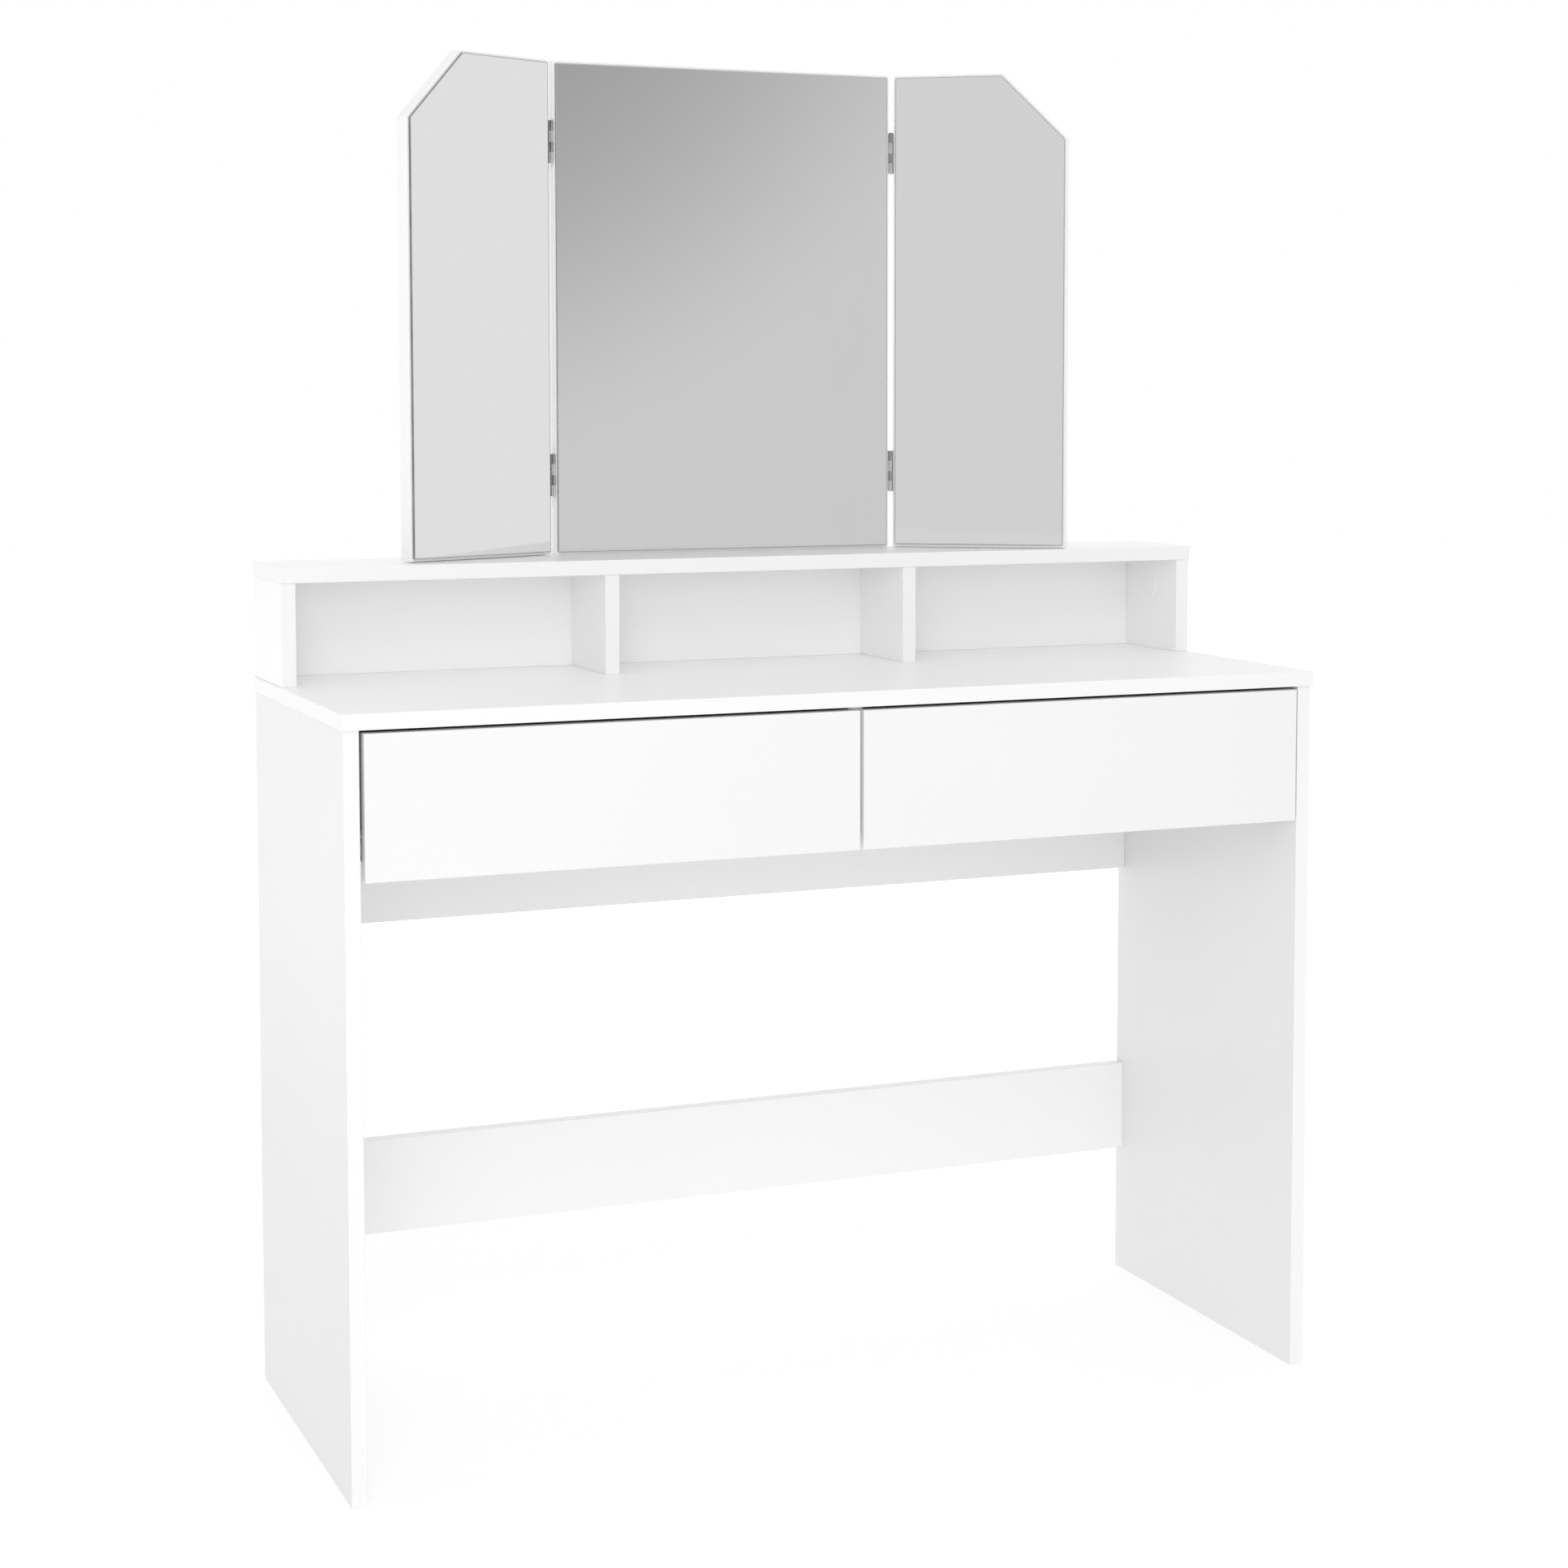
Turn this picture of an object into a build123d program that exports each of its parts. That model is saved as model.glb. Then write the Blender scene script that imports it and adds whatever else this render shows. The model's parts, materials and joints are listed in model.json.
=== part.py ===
"""Dressing table: a desk with two push-back drawers, an open shelf box on its top, and a three-panel
mirror whose wings fold in.

Millimetres. X is to the right seen from the front, Y towards the wall, Z up.
The origin is on the floor, in the middle of the footprint.
"""

import os

from build123d import *

os.makedirs("parts", exist_ok=True)

# Whole object
overall_width = 1080.0
overall_depth = 400.0
table_height = 774.0
board = 16.0  # thickness of the faced chipboard
edge_rounding = 0.8  # radius of the edge banding's corners

# Desk
top_side_overhang = 2.0
top_front_overhang = 4.0
upper_rail_height = 259.0
lower_rail_height = 105.0
lower_rail_floor_gap = 152.0
partition_below_runners = 12.0

# Shelf box on the table top
shelf_box_height = 124.0
shelf_box_depth = 135.0
shelf_box_side_inset = 1.6
shelf_top_side_overhang = 0.8
shelf_top_front_overhang = 1.5

# Mirror
mirror_height = 545.0
centre_mirror_width = 407.0
wing_meeting_gap = 3.0  # between the two wings folded in over the centre
wing_corner_cut = 75.0
wing_lift = 1.0  # air under the wings, so that they swing clear of the shelf top
glass = 3.0
glass_margin = 3.0
glass_closing_gap = 1.0  # between the glass of a wing and of the centre, folded in
left_wing_angle = 25.0  # how far each wing stands forward of flat
right_wing_angle = 34.0

# Drawers
drawer_front_height = 143.5
drawer_side_gap = 3.7
drawer_centre_gap = 4.0
drawer_top_gap = 3.5
drawer_rear_gap = 16.0  # behind the closed box
drawer_board = 12.0
drawer_box_drop = 23.5  # the front stands this far above the box
drawer_box_lift = 20.0  # and hangs this far below it, as a finger grip
housing_depth = 6.0  # of the sides in the front
bottom_thickness = 3.0
bottom_lift = 10.0
bottom_slack = 0.2

# Roller runners
runner_space = 12.7  # between the drawer side and the cabinet
runner_play = 1.5  # between the cabinet member's flanges and the drawer member's web
sheet = 1.2
runner_front_gap = 2.0
runner_drop = 2.0  # cabinet channel below the drawer side's edge
roller_radius = 11.0
roller_width = 6.0
roller_inset = 14.0  # axle from the runner's end
axle_radius = 2.5
axle_clearance = 0.05
axle_head_radius = 4.0
axle_head = 0.8
axle_collar = 0.6
rolling_gap = 0.3
flange_gap = 0.6
flange_tip_gap = 1.4  # between the drawer member's flange and the cabinet member's web

# Hinges
hinge_length = 47.0
knuckles = 4
hinge_from_end = 89.0  # hinge middle from the mirror's top and bottom
barrel_radius = 1.9
pin_radius = 0.9
pin_clearance = 0.05
pin_dome = 0.6
leaf = 0.8
leaf_width = 11.0
leaf_gap = 0.3
hinge_screw_spacing = 15.0

# Fasteners
cam_radius = 7.5
cam_height = 12.0
cam_bore_slack = 0.05
cam_distance = 34.0
bolt_thread_radius = 2.5
bolt_thread = 11.0
bolt_shaft_radius = 3.0
bolt_shaft = 26.0
bolt_neck_radius = 1.7
bolt_neck = 5.0
bolt_head_radius = 3.2
bolt_head = 4.0
bolt_hole_radius = 4.0
cap_radius = 11.5
cap_thickness = 1.2
cap_peg_radius = 1.4
cap_peg = 2.0
dowel_radius = 4.0
dowel_in_edge = 20.0
dowel_in_face = 10.0
fit = 0.02  # slack round glued dowels and driven screws
recess_width = 0.9

LONG_SCREW = {"head": 4.0, "shank": 2.0, "length": 45.0}
DRAWER_SCREW = {"head": 3.4, "shank": 1.75, "length": 30.0}
RUNNER_SCREW = {"head": 3.4, "shank": 1.75, "length": 14.0}
HINGE_SCREW = {"head": 2.8, "shank": 1.4, "length": 13.0}

# Places worked out from the sizes
front = -overall_depth / 2
back = overall_depth / 2
top_under = table_height - board
panel_outer = overall_width / 2 - top_side_overhang
panel_inner = panel_outer - board
rail_front = back - board
shelf_wall_outer = overall_width / 2 - shelf_box_side_inset
shelf_wall_inner = shelf_wall_outer - board
bay_width = (2 * shelf_wall_inner - 2 * board) / 3
divider_inner = bay_width / 2
shelf_top_z = table_height + shelf_box_height
shelf_front = back - shelf_box_depth
shelf_board_front = shelf_front + shelf_top_front_overhang
mirror_top = shelf_top_z + mirror_height
mirror_face = back - board
wing_width = (centre_mirror_width - wing_meeting_gap) / 2
# The axis is midway between the boards folded in.
hinge_y = mirror_face - glass - glass_closing_gap / 2
hinge_x = centre_mirror_width / 2 + barrel_radius
drawer_front_top = top_under - drawer_top_gap
drawer_front_bottom = drawer_front_top - drawer_front_height
drawer_front_back = front + board
box_bottom = drawer_front_bottom + drawer_box_lift
box_top = drawer_front_top - drawer_box_drop
box_back = rail_front - drawer_rear_gap
box_height = box_top - box_bottom
box_depth = box_back - drawer_front_back
groove_depth = drawer_board / 3  # of the bottom in the boards round it
channel_bottom = box_bottom - runner_drop
axle_z = channel_bottom + sheet + rolling_gap + roller_radius
drawer_flange_z = axle_z + roller_radius + rolling_gap
channel_top = drawer_flange_z + sheet + flange_gap + sheet
runner_front = drawer_front_back + runner_front_gap
runner_length = box_back - runner_front
runner_flange = runner_space - sheet - runner_play
partition_bottom = channel_bottom - partition_below_runners
partition_height = top_under - partition_bottom

pieces = {}
groups = {}


def block(x, y, z, rounding=0.0):
    """A box between pairs of limits, with its edges rounded."""
    size = [max(pair) - min(pair) for pair in (x, y, z)]
    middle = [sum(pair) / 2 for pair in (x, y, z)]
    solid = Pos(*middle) * Box(*size)
    return fillet(solid.edges(), rounding) if rounding else solid


def rod(radius, start, end):
    """A cylinder along local Z."""
    return Pos(0, 0, start) * Cylinder(radius, end - start, align=(Align.CENTER, Align.CENTER, Align.MIN))


def cut(name, tool):
    pieces[name] = pieces[name] - tool


def add(group, solid):
    groups.setdefault(group, []).append(solid)


def facing(point, direction, across=None):
    """A location at a point whose Z is the direction and whose X is across."""
    return Plane(origin=point, z_dir=direction, x_dir=across).location


def cross_recess(size, depth):
    """A cross-head driver's slot, cut down from local Z = 0 towards +Z."""
    slot = Box(size, recess_width, 2 * depth)
    return slot + Rot(0, 0, 90) * slot


def screw(size, slack=0.0):
    """A countersunk screw along local Z with its head's top at the origin."""
    head, shank = size["head"], size["shank"]
    head_height = head - shank
    tip = 1.5 * shank
    body = rod(shank + slack, head_height, size["length"] - tip)
    body += Pos(0, 0, head_height / 2) * Rot(180, 0, 0) * Cone(shank + slack, head + slack, head_height)
    body += Pos(0, 0, size["length"] - tip / 2) * Cone(shank + slack, 0.3 * shank + slack, tip)
    return body


def drive(size, group, point, direction, boards):
    """Puts one screw in its group and its hole in each board that it passes."""
    place = facing(point, direction)
    add(group, place * (screw(size) - cross_recess(1.2 * size["head"], 0.5 * size["head"])))
    hole = place * screw(size, fit)
    for name in boards:
        cut(name, hole)


def dowel(point, direction, edge_board, face_board):
    """A glued dowel; the direction runs from the joint into the board's edge."""
    place = facing(point, direction)
    add("wooden_dowels", place * rod(dowel_radius, -dowel_in_face, dowel_in_edge))
    hole = place * rod(dowel_radius + fit, -dowel_in_face - fit, dowel_in_edge + fit)
    cut(edge_board, hole)
    cut(face_board, hole)


def cam_joint(point, direction, face, cam_board, bolt_board, capped=False):
    """A cam lock and its bolt. The direction runs from the joint into the cam's board, along the
    middle of its thickness, and face points to the side of that board that the cam is set in."""
    place = facing(point, direction, face)
    head_start = bolt_shaft + bolt_neck
    bolt = rod(bolt_thread_radius, -bolt_thread, 0) + rod(bolt_shaft_radius, 0, bolt_shaft)
    bolt += rod(bolt_neck_radius, bolt_shaft, head_start)
    bolt += rod(bolt_head_radius, head_start, head_start + bolt_head)
    add("cam_bolts", place * bolt)
    cut(bolt_board, place * rod(bolt_thread_radius + fit, -bolt_thread - fit, 0))
    to_cam = Pos(board / 2 - cam_height, 0, cam_distance) * Rot(0, 90, 0)
    bolt_way = rod(bolt_hole_radius, 0, head_start + bolt_head + 2 * rolling_gap)
    recess = cross_recess(cam_radius, cap_peg) + rod(cap_peg_radius, -cap_peg, 0)
    cam = rod(cam_radius, 0, cam_height) - Pos(0, 0, cam_height) * recess
    add("cam_locks", place * (to_cam * cam - bolt_way))
    cut(cam_board, place * (bolt_way + to_cam * rod(cam_radius + cam_bore_slack, -cam_bore_slack, board)))
    if capped:
        cap = rod(cap_radius, 0, cap_thickness)
        cap = fillet(cap.edges().sort_by(Axis.Z)[-1], 0.8 * cap_thickness)
        cap += rod(cap_peg_radius - fit, -cap_peg, 0)
        add("cam_cover_caps", place * to_cam * Pos(0, 0, cam_height) * cap)


def desk():
    """The table top, its two side panels, the partition between the drawers and the back rails."""
    span = (-panel_inner, panel_inner)
    pieces["table_top"] = block(
        (-overall_width / 2, overall_width / 2), (front, back), (top_under, table_height), edge_rounding
    )
    for side, name in ((-1, "left_side_panel"), (1, "right_side_panel")):
        pieces[name] = block(
            (side * panel_inner, side * panel_outer),
            (front + top_front_overhang, back),
            (0, top_under),
            edge_rounding,
        )
    for name, bottom, height in (
        ("upper_back_rail", top_under - upper_rail_height, upper_rail_height),
        ("lower_back_rail", lower_rail_floor_gap, lower_rail_height),
    ):
        pieces[name] = block(span, (rail_front, back), (bottom, bottom + height), edge_rounding)
    pieces["centre_partition"] = block(
        (-board / 2, board / 2),
        (drawer_front_back + runner_front_gap / 2, rail_front),
        (partition_bottom, top_under),
        edge_rounding,
    )


def shelf_box():
    """The open box of three bays that the mirror stands on."""
    deck = shelf_top_z - board
    pieces["shelf_top"] = block(
        (-shelf_wall_outer - shelf_top_side_overhang, shelf_wall_outer + shelf_top_side_overhang),
        (shelf_front, back),
        (deck, shelf_top_z),
        edge_rounding,
    )
    for side, name in ((-1, "shelf_left_wall"), (1, "shelf_right_wall")):
        pieces[name] = block(
            (side * shelf_wall_inner, side * shelf_wall_outer),
            (shelf_board_front, back),
            (table_height, deck),
            edge_rounding,
        )
        pieces[name.replace("wall", "divider")] = block(
            (side * divider_inner, side * (divider_inner + board)),
            (shelf_board_front, rail_front),
            (table_height, deck),
            edge_rounding,
        )
    pieces["shelf_back_panel"] = block(
        (-shelf_wall_inner, shelf_wall_inner), (rail_front, back), (table_height, deck), edge_rounding
    )


def carcass_joints():
    """Cams, dowels and long screws that hold the desk and the shelf box together."""
    mid_rail = back - board / 2
    bay_depth = rail_front - shelf_board_front
    near, middle, far = (shelf_board_front + share * bay_depth for share in (0.2, 0.5, 0.8))
    for side, panel in ((-1, "left_side_panel"), (1, "right_side_panel")):
        panel_mid = side * (panel_inner + board / 2)
        # The rear bolt stands between the two screws that come up into the shelf box's wall.
        for y in (front + overall_depth / 8, middle):
            cam_joint((panel_mid, y, top_under), (0, 0, -1), (-side, 0, 0), panel, "table_top")
        dowel((panel_mid, 0, top_under), (0, 0, -1), panel, "table_top")
        end = side * panel_inner
        upper_bottom = top_under - upper_rail_height
        for z in (upper_bottom + upper_rail_height / 5, upper_bottom + 4 * upper_rail_height / 5):
            cam_joint((end, mid_rail, z), (-side, 0, 0), (0, 1, 0), "upper_back_rail", panel)
        dowel((end, mid_rail, upper_bottom + upper_rail_height / 2), (-side, 0, 0), "upper_back_rail", panel)
        cam_z, dowel_z = (lower_rail_floor_gap + share * lower_rail_height for share in (1 / 3, 2 / 3))
        cam_joint((end, mid_rail, cam_z), (-side, 0, 0), (0, 1, 0), "lower_back_rail", panel)
        dowel((end, mid_rail, dowel_z), (-side, 0, 0), "lower_back_rail", panel)
        rail_cam_x = side * overall_width / 4
        cam_joint((rail_cam_x, mid_rail, top_under), (0, 0, -1), (0, 1, 0), "upper_back_rail", "table_top")

    for y in (front + overall_depth / 4, back - overall_depth / 4):
        cam_joint((0, y, top_under), (0, 0, -1), (-1, 0, 0), "centre_partition", "table_top")
    for z in (top_under - partition_height / 4, top_under - 3 * partition_height / 4):
        drive(LONG_SCREW, "long_screws", (0, back, z), (0, -1, 0), ("upper_back_rail", "centre_partition"))

    deck = shelf_top_z - board
    for side, end in ((-1, "left"), (1, "right")):
        wall, wall_mid = f"shelf_{end}_wall", side * (shelf_wall_inner + board / 2)
        divider, divider_mid = f"shelf_{end}_divider", side * (divider_inner + board / 2)
        cam_joint((wall_mid, middle, deck), (0, 0, -1), (-side, 0, 0), wall, "shelf_top", capped=True)
        for y in (near, far):
            dowel((wall_mid, y, deck), (0, 0, -1), wall, "shelf_top")
            dowel((divider_mid, y, deck), (0, 0, -1), divider, "shelf_top")
            drive(LONG_SCREW, "long_screws", (wall_mid, y, top_under), (0, 0, 1), ("table_top", wall))
            drive(LONG_SCREW, "long_screws", (divider_mid, y, top_under), (0, 0, 1), ("table_top", divider))
        back_joint = (side * shelf_wall_inner, mid_rail, table_height + (shelf_box_height - board) / 2)
        dowel(back_joint, (-side, 0, 0), "shelf_back_panel", wall)
        dowel((side * overall_width / 4, mid_rail, deck), (0, 0, -1), "shelf_back_panel", "shelf_top")

    mirror_screws_at = centre_mirror_width / 3
    for z, *boards in ((deck, "shelf_top", "mirror_board"), (top_under, "table_top", "shelf_back_panel")):
        for x in (-mirror_screws_at, 0, mirror_screws_at):
            drive(LONG_SCREW, "long_screws", (x, mid_rail, z), (0, 0, 1), boards)
    for x in (-mirror_screws_at / 2, mirror_screws_at / 2):
        dowel((x, mid_rail, shelf_top_z), (0, 0, 1), "mirror_board", "shelf_top")


def upright(outline, y, thickness, rounding=0.0):
    """A flat piece standing in the XZ plane with its front face at y, from its outline's corners."""
    face = make_face(Polyline(*[(x, z) for x, z in outline], close=True))
    solid = Pos(0, y, 0) * Rot(90, 0, 0) * extrude(face, -thickness)
    return fillet(solid.edges(), rounding) if rounding else solid


def wing_outline(margin):
    """Corners of the left wing laid flat, shrunk by a margin all round."""
    x_in = -hinge_x - barrel_radius - margin
    x_out = x_in - wing_width + 2 * margin
    bottom, top = shelf_top_z + wing_lift + margin, mirror_top - margin
    # A 45 degree edge moved in by the margin shortens each leg of the cut by this much.
    leg = wing_corner_cut - margin * (2 - 2**0.5)
    return [(x_in, bottom), (x_out, bottom), (x_out, top - leg), (x_out + leg, top), (x_in, top)]


def centre_outline(margin):
    x = centre_mirror_width / 2 - margin
    bottom, top = shelf_top_z + margin, mirror_top - margin
    return [(-x, bottom), (x, bottom), (x, top), (-x, top)]


def hinge_leaf(sleeves, pin_hole):
    """A leaf with its knuckles, in the hinge's own frame: the axis is local Z, centred on its
    length, and the leaf lies on a board's edge at local -X, reaching back along +Y."""
    step = hinge_length / knuckles
    bottom = -hinge_length / 2
    plate = block(
        (-barrel_radius, -barrel_radius + leaf),
        (barrel_radius + leaf_gap, barrel_radius + leaf_gap + leaf_width),
        (bottom, -bottom),
    )
    for index in sleeves:
        low = bottom + index * step + leaf_gap / 2
        high = low + step - leaf_gap
        strip = block((-barrel_radius, -barrel_radius + leaf), (0, barrel_radius + leaf_gap), (low, high))
        plate += strip + rod(barrel_radius, low, high)
    return plate - rod(pin_hole, bottom, -bottom)


def hinges():
    """Two butt hinges on each side of the centre panel. The wings' leaves are made flat, like the
    wings, and turn with them."""
    pin = rod(pin_radius, -hinge_length / 2 - pin_dome, hinge_length / 2 + pin_dome)
    pin = fillet(pin.edges(), 0.7 * pin_dome)
    screw_y = barrel_radius + leaf_gap + leaf_width / 2
    for side, wing in ((-1, "left_wing"), (1, "right_wing")):
        for z in (shelf_top_z + hinge_from_end, mirror_top - hinge_from_end):
            place = Pos(side * hinge_x, hinge_y, z)
            # Seen from above, the centre panel is at +X of the left hinge and at -X of the right one.
            to_centre = place * mirrored(hinge_leaf((0, 2), pin_radius + fit), side < 0)
            to_wing = place * mirrored(hinge_leaf((1, 3), pin_radius + pin_clearance), side > 0)
            for offset in (-hinge_screw_spacing, 0, hinge_screw_spacing):
                y, height = hinge_y + screw_y, z + offset
                head_x = barrel_radius - leaf
                centre_head = (side * (hinge_x - head_x), y, height)
                wing_head = (side * (hinge_x + head_x), y, height)
                hole = facing(centre_head, (-side, 0, 0)) * screw(HINGE_SCREW, fit)
                to_centre -= hole
                drive(HINGE_SCREW, "mirror_hinge_screws", centre_head, (-side, 0, 0), ("mirror_board",))
                to_wing -= facing(wing_head, (side, 0, 0)) * screw(HINGE_SCREW, fit)
                drive(HINGE_SCREW, f"{wing}_hinge_screws", wing_head, (side, 0, 0), (f"{wing}_board",))
            add("mirror_hinge_leaves", to_centre)
            add("mirror_hinge_pins", place * pin)
            add(f"{wing}_hinge_leaves", to_wing)


def mirrored(solid, flip):
    return mirror(solid, about=Plane.YZ) if flip else solid


def mirror_panels():
    pieces["mirror_board"] = upright(centre_outline(0), mirror_face, board, edge_rounding)
    pieces["mirror_glass"] = upright(centre_outline(glass_margin), mirror_face - glass, glass)
    wing_board = upright(wing_outline(0), mirror_face, board, edge_rounding)
    wing_glass = upright(wing_outline(glass_margin), mirror_face - glass, glass)
    for name, flip in (("left_wing", False), ("right_wing", True)):
        pieces[f"{name}_board"] = mirrored(wing_board, flip)
        pieces[f"{name}_glass"] = mirrored(wing_glass, flip)


def swing_wings():
    """Turns every wing piece forward from flat to where the wing stands."""
    for side, wing, angle in ((-1, "left_wing", left_wing_angle), (1, "right_wing", right_wing_angle)):
        axis = Pos(side * hinge_x, hinge_y, 0)
        turn = axis * Rot(0, 0, -side * angle) * axis.inverse()
        for name in (f"{wing}_board", f"{wing}_glass"):
            pieces[name] = turn * pieces[name]
        for name in (f"{wing}_hinge_leaves", f"{wing}_hinge_screws"):
            groups[name] = [turn * solid for solid in groups[name]]


def runner_pair(wall_x, towards, cabinet_name, drawer_name, cabinet_board, stagger):
    """One roller runner. wall_x is the cabinet face that it is screwed to, and towards is +1 or -1,
    the way from there to the drawer."""
    web = runner_space - sheet
    cabinet_axle_y = runner_front + roller_inset
    drawer_axle_y = box_back - roller_inset
    axle_length = axle_collar + roller_width + 2 * rolling_gap + axle_head

    def across(near, far):
        return (wall_x + towards * near, wall_x + towards * far)

    def axle(start, end, y):
        """A stub axle from the web at start to its head at end, with a spacing collar."""
        way = 1 if end > start else -1
        place = facing((wall_x + towards * start, y, axle_z), (towards * way, 0, 0))
        length = abs(end - start)
        stub = rod(axle_radius, 0, length) + rod(axle_head_radius, 0, axle_collar)
        return place * (stub + rod(axle_head_radius, length - axle_head, length))

    channel_y = (runner_front, runner_front + runner_length)
    channel = block(across(0, runner_flange), channel_y, (channel_bottom, channel_top))
    channel -= block(across(sheet, runner_flange), channel_y, (channel_bottom + sheet, channel_top - sheet))
    pieces[cabinet_name] = channel + axle(sheet, sheet + axle_length, cabinet_axle_y)

    member_y = (drawer_front_back, box_back)
    member = block(across(web, runner_space), member_y, (box_bottom - sheet, drawer_flange_z + sheet))
    member += block(across(web, runner_space + drawer_board), member_y, (box_bottom - sheet, box_bottom))
    member += block(across(sheet + flange_tip_gap, web), member_y, (drawer_flange_z, drawer_flange_z + sheet))
    pieces[drawer_name] = member + axle(web, web - axle_length, drawer_axle_y)

    for name, start, way, y in (
        (f"{cabinet_name}_roller", sheet, 1, cabinet_axle_y),
        (f"{drawer_name}_roller", web, -1, drawer_axle_y),
    ):
        place = facing((wall_x + towards * start, y, axle_z), (towards * way, 0, 0))
        pieces[name] = place * Pos(0, 0, axle_collar + rolling_gap) * roller()

    axle_reserve = 3 * roller_inset
    spacing = (runner_length - 2 * axle_reserve) / 2
    for step in range(3):
        y = runner_front + axle_reserve + step * spacing + stagger
        point = (wall_x + towards * sheet, y, (channel_bottom + channel_top) / 2)
        drive(RUNNER_SCREW, "runner_screws", point, (-towards, 0, 0), (cabinet_name, cabinet_board))


def roller():
    """A nylon wheel with shallow dished faces, from local Z = 0 up."""
    dish = roller_width / 6
    wheel = fillet(rod(roller_radius, 0, roller_width).edges(), dish / 2)
    ring = rod(0.8 * roller_radius, 0, dish) - rod(0.4 * roller_radius, 0, dish)
    wheel -= ring + Pos(0, 0, roller_width - dish) * ring
    return wheel - rod(axle_radius + axle_clearance, 0, roller_width)


def drawer(side, name):
    """One drawer: side is -1 on the left and +1 on the right."""
    opening = sorted((side * board / 2, side * panel_inner))
    fronts = sorted((side * drawer_centre_gap / 2, side * (panel_inner - drawer_side_gap)))
    left, right = opening[0] + runner_space, opening[1] - runner_space
    inner = (left + drawer_board, right - drawer_board)
    height = (box_bottom, box_top)
    side_y = (drawer_front_back - housing_depth, box_back)
    floor_z = (box_bottom + bottom_lift, box_bottom + bottom_lift + bottom_thickness)
    grip = groove_depth - bottom_slack  # how far the bottom goes into its grooves

    sides = {
        f"{name}_left_side": block((left, inner[0]), side_y, height),
        f"{name}_right_side": block((inner[1], right), side_y, height),
    }
    pieces[f"{name}_front"] = block(
        fronts, (front, drawer_front_back), (drawer_front_bottom, drawer_front_top), edge_rounding
    )
    pieces[f"{name}_back"] = block(inner, (box_back - drawer_board, box_back), height)
    bottom_x = (inner[0] - grip, inner[1] + grip)
    bottom_y = (drawer_front_back - grip, box_back - drawer_board + grip)
    pieces[f"{name}_bottom"] = block(bottom_x, bottom_y, floor_z)
    groove = block(
        (inner[0] - groove_depth, inner[1] + groove_depth),
        (drawer_front_back - groove_depth, box_back - drawer_board + groove_depth),
        (floor_z[0] - fit, floor_z[1] + fit),
    )
    pieces.update(sides)
    for part_name in (f"{name}_front", f"{name}_back", *sides):
        cut(part_name, groove)
    for shape in sides.values():
        cut(f"{name}_front", shape)

    back_mid = box_back - drawer_board / 2
    for part_name, x, way in ((f"{name}_left_side", left, 1), (f"{name}_right_side", right, -1)):
        for z in (box_bottom + 0.3 * box_height, box_bottom + 0.8 * box_height):
            drive(DRAWER_SCREW, f"{name}_screws", (x, back_mid, z), (way, 0, 0), (part_name, f"{name}_back"))


def runners():
    """Two runners to each drawer, and the screws that hold them to the cabinet and the drawers."""
    half = board / 2
    for name, left_wall, right_wall, left_board, right_board in (
        ("left_drawer", -panel_inner, -half, "left_side_panel", "centre_partition"),
        ("right_drawer", half, panel_inner, "centre_partition", "right_side_panel"),
    ):
        for end, wall, towards, fixed_to in (
            ("left", left_wall, 1, left_board),
            ("right", right_wall, -1, right_board),
        ):
            member = f"{name}_{end}_member"
            # The screws into the two faces of the partition pass each other.
            stagger = roller_inset if end == "right" else 0
            runner_pair(wall, towards, f"{name}_{end}_channel", member, fixed_to, stagger)
            flange_mid = wall + towards * (runner_space + drawer_board / 2)
            for y in (drawer_front_back + box_depth / 8, box_back - box_depth / 8):
                point = (flange_mid, y, box_bottom - sheet)
                drive(DRAWER_SCREW, f"{name}_screws", point, (0, 0, 1), (member, f"{name}_{end}_side"))


desk()
shelf_box()
mirror_panels()
carcass_joints()
hinges()
swing_wings()
drawer(-1, "left_drawer")
drawer(1, "right_drawer")
runners()

for node, solid in pieces.items():
    export_step(solid, f"parts/{node}.step")
for node, solids in groups.items():
    export_step(Compound(children=solids), f"parts/{node}.step")
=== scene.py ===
"""The looks of a white dressing table with a three-panel mirror: its board, glass, metal, nylon and
wood finishes, and the studio and camera that it is seen with. Metres, in the frame of the model."""

import json
import math

import bpy
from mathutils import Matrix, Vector

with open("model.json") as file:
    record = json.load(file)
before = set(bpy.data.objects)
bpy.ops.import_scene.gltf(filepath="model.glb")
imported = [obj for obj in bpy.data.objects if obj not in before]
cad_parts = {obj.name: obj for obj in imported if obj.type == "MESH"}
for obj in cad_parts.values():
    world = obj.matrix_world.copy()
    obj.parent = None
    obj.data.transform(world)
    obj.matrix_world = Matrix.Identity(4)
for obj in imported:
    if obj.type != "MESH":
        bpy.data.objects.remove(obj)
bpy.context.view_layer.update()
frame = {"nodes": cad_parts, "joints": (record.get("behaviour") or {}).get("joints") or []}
nodes = frame["nodes"]


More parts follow.
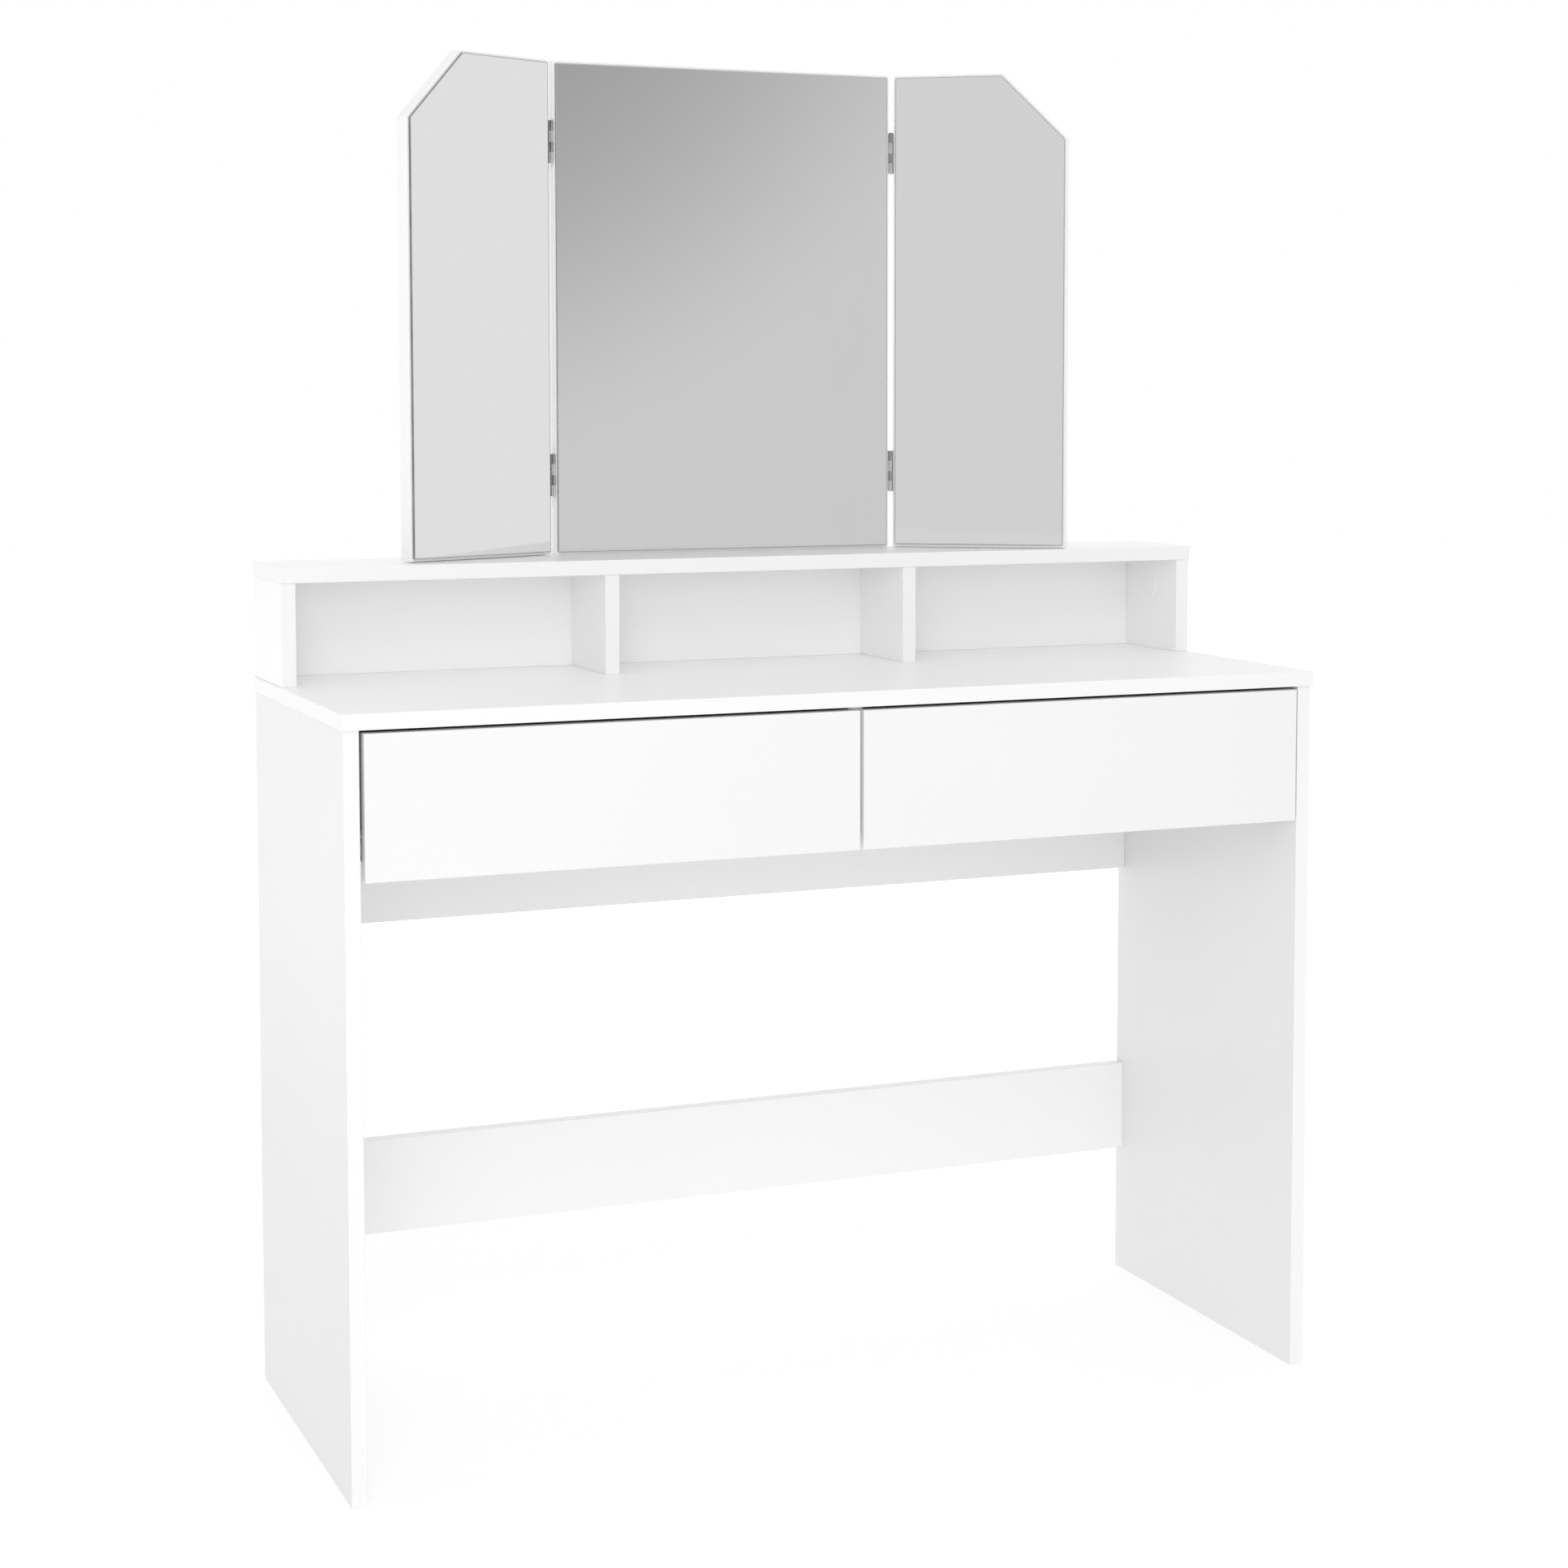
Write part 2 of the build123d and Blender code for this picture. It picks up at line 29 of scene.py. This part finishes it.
class Value:
    """A number or a vector in a tree. Python's operators on it add the nodes that work it out."""

    def __init__(self, owner, socket):
        self.owner = owner
        self.socket = socket

    def maths(self, operation, first, second=0.0):
        return self.owner.node("ShaderNodeMath", {"operation": operation}, {0: first, 1: second})

    def __add__(self, other):
        return self.maths("ADD", self, other)

    def __radd__(self, other):
        return self.maths("ADD", other, self)

    def __sub__(self, other):
        return self.maths("SUBTRACT", self, other)

    def __rsub__(self, other):
        return self.maths("SUBTRACT", other, self)

    def __mul__(self, other):
        return self.maths("MULTIPLY", self, other)

    def __rmul__(self, other):
        return self.maths("MULTIPLY", other, self)

    def __abs__(self):
        return self.maths("ABSOLUTE", self)

    def lowest(self, other):
        return self.maths("MINIMUM", self, other)

    def rise(self, low, high):
        """0 below low, 1 above high and a smooth step between them."""
        return self.owner.node(
            "ShaderNodeMapRange",
            {"interpolation_type": "SMOOTHSTEP"},
            {"Value": self, "From Min": low, "From Max": high},
        )

    def fall(self, low, high):
        return 1 - self.rise(low, high)


class Tree:
    """The nodes of a material or of the sky."""

    def __init__(self, tree):
        self.tree = tree

    def node(self, kind, settings=None, inputs=None, output=0):
        """Adds a node, sets it up, fills or links its inputs, and gives back one of its outputs."""
        made = self.tree.nodes.new(kind)
        for setting, choice in (settings or {}).items():
            setattr(made, setting, choice)
        for socket, given in (inputs or {}).items():
            if isinstance(given, Value):
                self.tree.links.new(given.socket, made.inputs[socket])
            else:
                made.inputs[socket].default_value = given
        return Value(self, made.outputs[output])

    def along(self, vector, direction):
        """How far a vector goes along a direction."""
        inputs = {0: vector, 1: tuple(direction)}
        return self.node("ShaderNodeVectorMath", {"operation": "DOT_PRODUCT"}, inputs, "Value")

    def blend(self, share, first, second):
        """The first colour where the share is 0 and the second where it is 1."""
        return self.node("ShaderNodeMix", {"data_type": "RGBA"}, {0: share, 6: first, 7: second}, 2)


class Finish(Tree):
    """A material in the making: one Principled shader, whose constants are set on its own sockets."""

    def __init__(self, name, **constants):
        self.material = bpy.data.materials.new(name)
        self.material.use_nodes = True
        super().__init__(self.material.node_tree)
        self.shader = self.tree.nodes["Principled BSDF"]
        for socket, constant in constants.items():
            self.shader.inputs[socket.replace("_", " ")].default_value = constant

    def place(self):
        """Where a point is on the piece, in metres. It moves with the piece."""
        return self.node("ShaderNodeTexCoord", output="Object")

    def facing(self, direction):
        """1 where the surface looks in the direction, 0 square to it and -1 where it looks back."""
        return self.along(self.node("ShaderNodeTexCoord", output="Normal"), direction)

    def faces(self, direction):
        """1 on faces square to the direction, on either side of the piece, and 0 on its edges."""
        return abs(self.facing(direction)).rise(0.5, 0.8)

    def stretched(self, vector, scale):
        return self.node("ShaderNodeVectorMath", {"operation": "MULTIPLY"}, {0: vector, 1: scale})

    def noise(self, vector, scale, detail=2.0, roughness=0.5):
        inputs = {"Vector": vector, "Scale": scale, "Detail": detail, "Roughness": roughness}
        return self.node("ShaderNodeTexNoise", None, inputs)

    def cells(self, vector, scale):
        """Distance to the nearest of scattered points, in cells."""
        return self.node("ShaderNodeTexVoronoi", None, {"Vector": vector, "Scale": scale})

    def wear(self, colour, roughness, relief, depth, **others):
        """Links what changes over the surface to the shader. Relief is 0 to 1, depth is in metres."""
        linked = {"Base Color": colour, "Roughness": roughness}
        linked.update({socket.replace("_", " "): value for socket, value in others.items()})
        bump = {"Height": relief, "Strength": 0.6, "Distance": depth}
        linked["Normal"] = self.node("ShaderNodeBump", None, bump)
        for socket, value in linked.items():
            self.tree.links.new(value.socket, self.shader.inputs[socket])
        return self.material


def grey(level, warmth=0.0):
    return (level * (1 + warmth), level, level * (1 - warmth), 1.0)


def faced_board(name, across, white=0.94):
    """White melamine-faced chipboard. Its broad faces are square to across and have a fine pearl
    texture with faint handling marks; the banded edges are smoother and the same white on all."""
    finish = Finish(name, Specular_IOR_Level=0.5)
    place = finish.place()
    face = finish.faces(across)
    pearl = finish.noise(place, 850.0, 3.0, 0.6)
    press = finish.noise(place, 130.0, 2.0)
    clouds = finish.noise(place, 2.3, 3.0)
    wiped = finish.noise(finish.stretched(place, (1.0, 1.0, 3.5)), 9.0, 4.0, 0.62).rise(0.55, 0.75)
    dust = finish.cells(place, 95.0).fall(0.02, 0.05) * finish.noise(place, 14.0).rise(0.5, 0.62)
    tone = finish.blend(clouds.rise(0.35, 0.65), grey(white - 0.012, -0.001), grey(white, 0.001))
    tone = finish.blend(face, grey(0.885), tone)
    tone = finish.blend(0.12 * dust, tone, grey(0.62, 0.03))
    shine = 0.36 + face * (0.05 * wiped - 0.07 * clouds) - 0.04 * (1 - face)
    return finish.wear(tone, shine, face * (0.7 * pearl + 0.3 * press), 0.00006)


def drawer_box_foil(name, across):
    """Thin matt foil round the drawer sides, with its faint printed grain and dull cut ends."""
    finish = Finish(name, Specular_IOR_Level=0.35)
    place = finish.place()
    face = finish.faces(across)
    grain = finish.noise(finish.stretched(place, (60.0, 4.0, 60.0)), 6.0, 4.0, 0.6)
    specks = finish.noise(place, 420.0, 2.0)
    rubbed = finish.noise(place, 7.0, 3.0).rise(0.5, 0.7)
    tone = finish.blend(grain.rise(0.3, 0.7), grey(0.80, 0.004), grey(0.86, 0.002))
    tone = finish.blend(0.5 * (1 - face), tone, grey(0.78, 0.02))
    return finish.wear(tone, 0.52 - 0.1 * rubbed + 0.04 * specks, 0.6 * grain + 0.4 * specks, 0.00008)


def lacquered_hardboard(name):
    """A drawer bottom: white lacquer over pressed fibres, thinner and duller underneath, where the
    weave of the press shows through."""
    finish = Finish(name, Specular_IOR_Level=0.4)
    place = finish.place()
    fibres = finish.noise(finish.stretched(place, (1.0, 2.5, 1.0)), 240.0, 4.0, 0.65)
    press_wires = {"Vector": place, "Scale": 110.0}
    weave_x = finish.node("ShaderNodeTexWave", {"bands_direction": "X"}, press_wires)
    weave_y = finish.node("ShaderNodeTexWave", {"bands_direction": "Y"}, press_wires)
    under = finish.facing((0, 0, -1)).rise(0.4, 0.6)
    scuffs = finish.noise(finish.stretched(place, (3.0, 14.0, 1.0)), 6.0, 3.0).rise(0.6, 0.72)
    lacquer = finish.blend(scuffs, grey(0.82, 0.004), grey(0.76, 0.012))
    bare = finish.blend(fibres.rise(0.35, 0.65), grey(0.62, 0.02), grey(0.74, 0.012))
    relief = 0.3 * fibres + under * (0.35 * weave_x + 0.35 * weave_y)
    tone = finish.blend(under, lacquer, bare)
    return finish.wear(tone, 0.42 + 0.35 * under + 0.1 * scuffs, relief, 0.0002)


def glass_planes(glass, facing):
    """The outline of a sheet of glass: each edge face's outward direction and how far out it lies."""
    planes = {}
    for polygon in glass.data.polygons:
        if abs(polygon.normal.dot(facing)) < 0.5:
            out = polygon.normal.copy()
            planes[tuple(round(part, 2) for part in out)] = (out, out.dot(polygon.center))
    return planes.values()


def silvered_glass(name, glass, facing):
    """Mirror glass: silver behind clear glass, a ground arris and a painted dark rim that stands in for
    the shade along the bevelled edge, greenish polished edges, and the faintest wiping haze."""
    finish = Finish(name, Coat_Roughness=0.03, Coat_IOR=1.5)
    place = finish.place()
    face = finish.faces(facing)
    inside = None
    for out, reach in glass_planes(glass, facing):
        gap = reach - finish.along(place, out)
        inside = gap if inside is None else inside.lowest(gap)
    # Painted shade: a dark, dull rim round the glass stands in for the shadow along its bevelled edge.
    bevel_shade_rim = face * inside.fall(0.0003, 0.0008)
    haze = finish.noise(finish.stretched(place, (1.0, 1.0, 0.3)), 13.0, 4.0, 0.6).rise(0.5, 0.8)
    motes = finish.cells(place, 70.0).fall(0.015, 0.03) * finish.noise(place, 9.0).rise(0.52, 0.6)
    silver = finish.blend(0.5 * haze, grey(0.9), grey(0.875))
    silver = finish.blend(0.15 * motes, silver, grey(0.6))
    silver = finish.blend(bevel_shade_rim, silver, (0.30, 0.305, 0.30, 1.0))
    edge = finish.noise(finish.stretched(place, (1.0, 1.0, 0.1)), 400.0)
    ground = finish.blend(edge.rise(0.3, 0.7), (0.12, 0.14, 0.135, 1.0), (0.21, 0.235, 0.225, 1.0))
    mirror = face - face * bevel_shade_rim
    shine = 0.012 + 0.012 * haze + 0.15 * motes + 0.25 * bevel_shade_rim + 0.2 * (1 - face)
    arris = inside.rise(0.0, 0.001)
    tone = finish.blend(face, ground, silver)
    coat = 0.6 - 0.3 * face
    return finish.wear(tone, shine, arris * face, 0.0003, Metallic=mirror, Coat_Weight=coat)


def chrome_plate(name, bright):
    """Chrome on pressed steel, with faint rolling lines, finger haze and duller spots."""
    finish = Finish(name, Specular_IOR_Level=0.5)
    place = finish.place()
    lines = finish.noise(finish.stretched(place, (900.0, 900.0, 40.0)), 3.0, 3.0)
    haze = finish.noise(place, 160.0, 3.0).rise(0.45, 0.7)
    tone = finish.blend(haze, grey(bright, -0.004), grey(bright - 0.08))
    dull = finish.noise(place, 420.0, 2.0).rise(0.6, 0.75)
    return finish.wear(tone, 0.1 + 0.08 * haze + 0.08 * dull, lines, 0.00003, Metallic=1 - 0.1 * dull)


def bright_zinc(name, grain_scale, low, high):
    """Zinc on screws and bolts, or a raw die casting with its coarser grain."""
    finish = Finish(name)
    place = finish.place()
    spangle = finish.cells(place, grain_scale)
    film = finish.noise(place, grain_scale * 0.4, 3.0)
    tone = finish.blend(spangle.rise(0.1, 0.6), grey(low, 0.004), grey(high, -0.006))
    tone = finish.blend(0.4 * film.rise(0.55, 0.75), tone, (0.44, 0.42, 0.36, 1.0))
    relief = 0.5 * spangle + 0.5 * film
    return finish.wear(tone, 0.3 + 0.18 * film, relief, 0.00005, Metallic=0.95 - 0.15 * film)


def powder_coat(name):
    """White epoxy powder on the runners, with its orange peel and the track that the wheels polish."""
    finish = Finish(name, Specular_IOR_Level=0.5)
    place = finish.place()
    peel = finish.noise(place, 620.0, 1.0)
    up = abs(finish.facing((0, 0, 1))).rise(0.8, 0.95)
    worn = up * finish.noise(finish.stretched(place, (260.0, 3.0, 1.0)), 2.0, 3.0).rise(0.5, 0.68)
    tone = finish.blend(finish.noise(place, 24.0).rise(0.4, 0.6), grey(0.80, 0.004), grey(0.84, 0.002))
    tone = finish.blend(0.45 * worn, tone, grey(0.52, 0.01))
    return finish.wear(tone, 0.38 - 0.14 * worn + 0.05 * peel, peel, 0.00012)


def nylon(name):
    """Natural white nylon wheels, faintly mottled, with a grey rolling track."""
    finish = Finish(name, Subsurface_Weight=0.15, Subsurface_Scale=0.002)
    place = finish.place()
    mottle = finish.noise(place, 240.0, 2.0)
    rolled = finish.noise(finish.stretched(place, (700.0, 40.0, 40.0)), 1.0, 3.0).rise(0.45, 0.65)
    track = (1 - finish.faces((1, 0, 0))) * rolled
    tone = finish.blend(mottle.rise(0.35, 0.65), grey(0.74, 0.012), grey(0.80, 0.008))
    tone = finish.blend(0.5 * track, tone, grey(0.42, 0.02))
    return finish.wear(tone, 0.4 + 0.12 * track, mottle, 0.00008)


def moulded_cap(name):
    """White moulded polystyrene, a touch glossier than the board round it."""
    finish = Finish(name, Specular_IOR_Level=0.5)
    place = finish.place()
    flow = finish.noise(finish.stretched(place, (1.0, 2.0, 1.0)), 120.0, 2.0)
    fine = finish.noise(place, 900.0, 2.0)
    tone = finish.blend(flow.rise(0.3, 0.7), grey(0.91, 0.001), grey(0.93))
    return finish.wear(tone, 0.27 + 0.08 * flow, 0.5 * flow + 0.5 * fine, 0.00004)


def raw_beech(name):
    """Dowels: raw beech with its grain and the short dark flecks along it."""
    finish = Finish(name, Specular_IOR_Level=0.25)
    place = finish.place()
    grain = finish.noise(finish.stretched(place, (300.0, 300.0, 30.0)), 2.0, 4.0, 0.6)
    flecks = finish.cells(finish.stretched(place, (1.0, 1.0, 0.2)), 900.0).fall(0.1, 0.3)
    tone = finish.blend(grain.rise(0.3, 0.7), (0.44, 0.28, 0.15, 1.0), (0.60, 0.42, 0.25, 1.0))
    tone = finish.blend(0.6 * flecks, tone, (0.24, 0.13, 0.06, 1.0))
    return finish.wear(tone, 0.6 + 0.12 * grain, grain, 0.0003)


def turned(direction, degrees):
    """A direction turned about the vertical."""
    spin = math.radians(degrees)
    x, y, z = direction
    return Vector((x * math.cos(spin) - y * math.sin(spin), x * math.sin(spin) + y * math.cos(spin), z))


def rest_angle(joint_name):
    """How far a wing stands from flat at rest. Flat is the low end of its hinge's travel."""
    joint = next(joint for joint in frame["joints"] if joint["name"] == joint_name)
    return -joint["range_deg"][0] * joint["axis"][2]


def wear_finish(material, *names):
    for name in names:
        slots = nodes[name].data.materials
        slots.clear()
        slots.append(material)


def dress_boards():
    """Every faced board, by the way that its broad faces look. The desk's sides, the uprights and the
    drawer fronts are a little less white: painted shade, darker copies of the one board white for how
    the light falls on them."""
    wear_finish(faced_board("flat_board", (0, 0, 1)), "table_top", "shelf_top")
    # Painted shade: the desk's sides are a darker copy of the board white, for the light that their
    # side-facing faces miss.
    desk_side_shaded_finish = faced_board("desk_side_board_painted_shade", (1, 0, 0), white=0.82)
    wear_finish(desk_side_shaded_finish, "left_side_panel", "right_side_panel")
    # Painted shade: the uprights, which face the sides, wear a touch darker copy of the board white.
    wear_finish(
        faced_board("upright_board_painted_shade", (1, 0, 0), white=0.93),
        "centre_partition",
        "shelf_left_wall",
        "shelf_right_wall",
        "shelf_left_divider",
        "shelf_right_divider",
    )
    wear_finish(
        faced_board("back_board", (0, 1, 0)),
        "upper_back_rail",
        "lower_back_rail",
        "shelf_back_panel",
        "mirror_board",
    )
    # Painted shade: the drawer fronts are a darker copy of the board white, to hold down the light that
    # falls full on them.
    drawer_front_shaded_finish = faced_board("drawer_front_board_painted_shade", (0, 1, 0), white=0.86)
    wear_finish(drawer_front_shaded_finish, "left_drawer_front", "right_drawer_front")


def dress_mirror():
    facing = Vector((0, -1, 0))
    wear_finish(silvered_glass("centre_silvered_glass", nodes["mirror_glass"], facing), "mirror_glass")
    for wing in ("left_wing", "right_wing"):
        looks = turned(facing, rest_angle(f"{wing}_hinge"))
        glass = nodes[f"{wing}_glass"]
        wear_finish(silvered_glass(f"{wing}_silvered_glass", glass, looks), f"{wing}_glass")
        wear_finish(faced_board(f"{wing}_faced_board", looks), f"{wing}_board")
    # Painted glint and shade: the centre's hinge halves get a bright copy of the chrome and the wings'
    # halves a dark one, so that the knuckles alternate light and dark as glints and shade would make
    # them.
    glint_painted_half = chrome_plate("painted_glint_hinge_chrome", 0.82)
    shade_painted_half = chrome_plate("painted_shade_hinge_chrome", 0.5)
    for name in nodes:
        if "hinge" in name:
            wear_finish(shade_painted_half if "wing" in name else glint_painted_half, name)


def dress_drawers():
    sides = drawer_box_foil("drawer_side_foil", (1, 0, 0))
    backs = drawer_box_foil("drawer_back_foil", (0, 1, 0))
    bottoms = lacquered_hardboard("drawer_bottom_hardboard")
    coat = powder_coat("runner_powder_coat")
    wheels = nylon("roller_nylon")
    for drawer in ("left_drawer", "right_drawer"):
        wear_finish(backs, f"{drawer}_back")
        wear_finish(bottoms, f"{drawer}_bottom")
        for end in ("left", "right"):
            wear_finish(sides, f"{drawer}_{end}_side")
            wear_finish(coat, f"{drawer}_{end}_channel", f"{drawer}_{end}_member")
            wear_finish(wheels, f"{drawer}_{end}_channel_roller", f"{drawer}_{end}_member_roller")


def dress_fasteners():
    wear_finish(
        bright_zinc("bright_zinc_plate", 500.0, 0.52, 0.64),
        "cam_bolts",
        "long_screws",
        "runner_screws",
        "left_drawer_screws",
        "right_drawer_screws",
    )
    wear_finish(bright_zinc("raw_zinc_casting", 900.0, 0.38, 0.5), "cam_locks")
    wear_finish(moulded_cap("moulded_cap_plastic"), "cam_cover_caps")
    wear_finish(raw_beech("raw_beech_dowel"), "wooden_dowels")


floor_reach = 14.0

# Where each mirror shows the wall to the camera, in degrees to the right of straight ahead of it.
left_wing_sees = 67.0
centre_sees = 21.7
right_wing_sees = -43.4


def studio_floor():
    """A plain pale floor. It glows a little, more towards the walls, where it runs out to white, and
    less in front, where the mirrors pick it up."""
    mesh = bpy.data.meshes.new("studio_floor")
    corners = [(x * floor_reach, y * floor_reach, 0.0) for x, y in ((-1, -1), (1, -1), (1, 1), (-1, 1))]
    mesh.from_pydata(corners, [], [(0, 1, 2, 3)])
    floor = bpy.data.objects.new("studio_floor", mesh)
    bpy.context.scene.collection.objects.link(floor)
    finish = Finish("floor_paint", Emission_Strength=1.0, Specular_IOR_Level=0.2)
    place = finish.place()
    out = finish.node("ShaderNodeVectorMath", {"operation": "LENGTH"}, {0: place}, "Value")
    in_front = finish.along(place, (0, -1, 0)).rise(0.9, 2.7)
    glow = finish.blend(out.rise(0.5, 4.0), grey(0.62), grey(0.92))
    glow = finish.blend(in_front, glow, grey(0.36))
    patches = finish.noise(place, 1.4, 3.0)
    paint = finish.blend(patches, grey(0.39), grey(0.41))
    roller_marks = finish.noise(place, 300.0, 2.0)
    dull = 0.7 + 0.1 * patches
    mesh.materials.append(finish.wear(paint, dull, roller_marks, 0.0001, Emission_Color=glow))


def soft_box(name, place, target, width, height, power, in_mirrors=True):
    """A rectangular light aimed at a target. Kept out of the mirrors, it shows in nothing glossy."""
    light = bpy.data.lights.new(name, "AREA")
    light.shape = "RECTANGLE"
    light.size = width
    light.size_y = height
    light.energy = power
    lamp = bpy.data.objects.new(name, light)
    lamp.location = place
    lamp.rotation_mode = "QUATERNION"
    lamp.rotation_quaternion = (Vector(target) - Vector(place)).to_track_quat("-Z", "Y")
    lamp.visible_glossy = in_mirrors
    bpy.context.scene.collection.objects.link(lamp)


def bearing(azimuth, elevation):
    """A direction from the mirror: azimuth is 0 straight ahead of it and 90 to its right."""
    turn = math.radians(azimuth)
    rise = math.radians(elevation)
    return (math.sin(turn) * math.cos(rise), -math.cos(turn) * math.cos(rise), math.sin(rise))


def studio_sky():
    """A white studio, greyer on the side that the mirrors face. Each panel has its own stretch of
    wall to show, and a flag hung high in front shades the top of the centre one."""
    world = bpy.data.worlds.new("studio_sky")
    world.use_nodes = True
    bpy.context.scene.world = world
    sky = Tree(world.node_tree)
    look = sky.node("ShaderNodeTexCoord", output="Generated")

    def patch(azimuth, elevation, full, faded):
        """1 within the full angle of a bearing and 0 past the faded one."""
        low = math.cos(math.radians(faded))
        high = math.cos(math.radians(full))
        return sky.along(look, bearing(azimuth, elevation)).rise(low, high)

    overhead = sky.along(look, (0, 0, 1)).rise(0.3, 0.75)
    behind = sky.along(look, (0, 1, 0)).rise(-0.1, 0.3)
    tone = sky.blend(behind, grey(0.5), grey(1.0))
    tone = sky.blend(overhead, tone, grey(0.88))
    tone = sky.blend(patch(right_wing_sees, 1.0, 9, 24), tone, grey(0.70))
    tone = sky.blend(patch(left_wing_sees, 1.0, 9, 22), tone, grey(0.82))
    tone = sky.blend(patch(centre_sees, 2.0, 9, 22), tone, grey(0.65))
    tone = sky.blend(0.46 * patch(14.0, 12.0, 0, 14), tone, grey(0.0))
    backdrop = sky.tree.nodes["Background"]
    sky.tree.links.new(tone.socket, backdrop.inputs["Color"])
    backdrop.inputs["Strength"].default_value = 1.0


def camera():
    """Stands to the left of the table, at the height of the mirror's lower half."""
    lens = bpy.data.cameras.new("camera")
    lens.sensor_width = 36.0
    lens.lens = 64.873
    lens.shift_y = -0.12
    lens.clip_end = 60.0
    view = bpy.data.objects.new("camera", lens)
    view.location = (-1.1678, -2.8186, 1.0765)
    view.rotation_euler = [math.radians(turn) for turn in (85.915, 0.054, -22.443)]
    bpy.context.scene.collection.objects.link(view)
    bpy.context.scene.camera = view


dress_boards()
dress_mirror()
dress_drawers()
dress_fasteners()
studio_floor()
studio_sky()
soft_box("front_fill", (-1.15, -3.6, 1.25), (0.0, 0.0, 0.8), 1.6, 1.2, 19.5, in_mirrors=False)
soft_box("key_light", (-1.7, -3.3, 2.3), (0.0, 0.0, 0.75), 1.6, 1.4, 18.0, in_mirrors=False)
soft_box("top_light", (-0.4, -2.6, 3.2), (0.0, 0.0, 0.7), 2.2, 1.4, 15.0, in_mirrors=False)
soft_box("rear_light", (0.9, 2.6, 3.0), (0.0, 0.0, 0.8), 2.0, 1.2, 2.0)
soft_box("hinge_glint", (3.6, 0.9, 1.5), (0.0, 0.0, 1.2), 0.5, 1.6, 5.0)
camera()
bpy.context.scene.view_settings.view_transform = "Standard"
bpy.context.scene.cycles.diffuse_bounces = 12
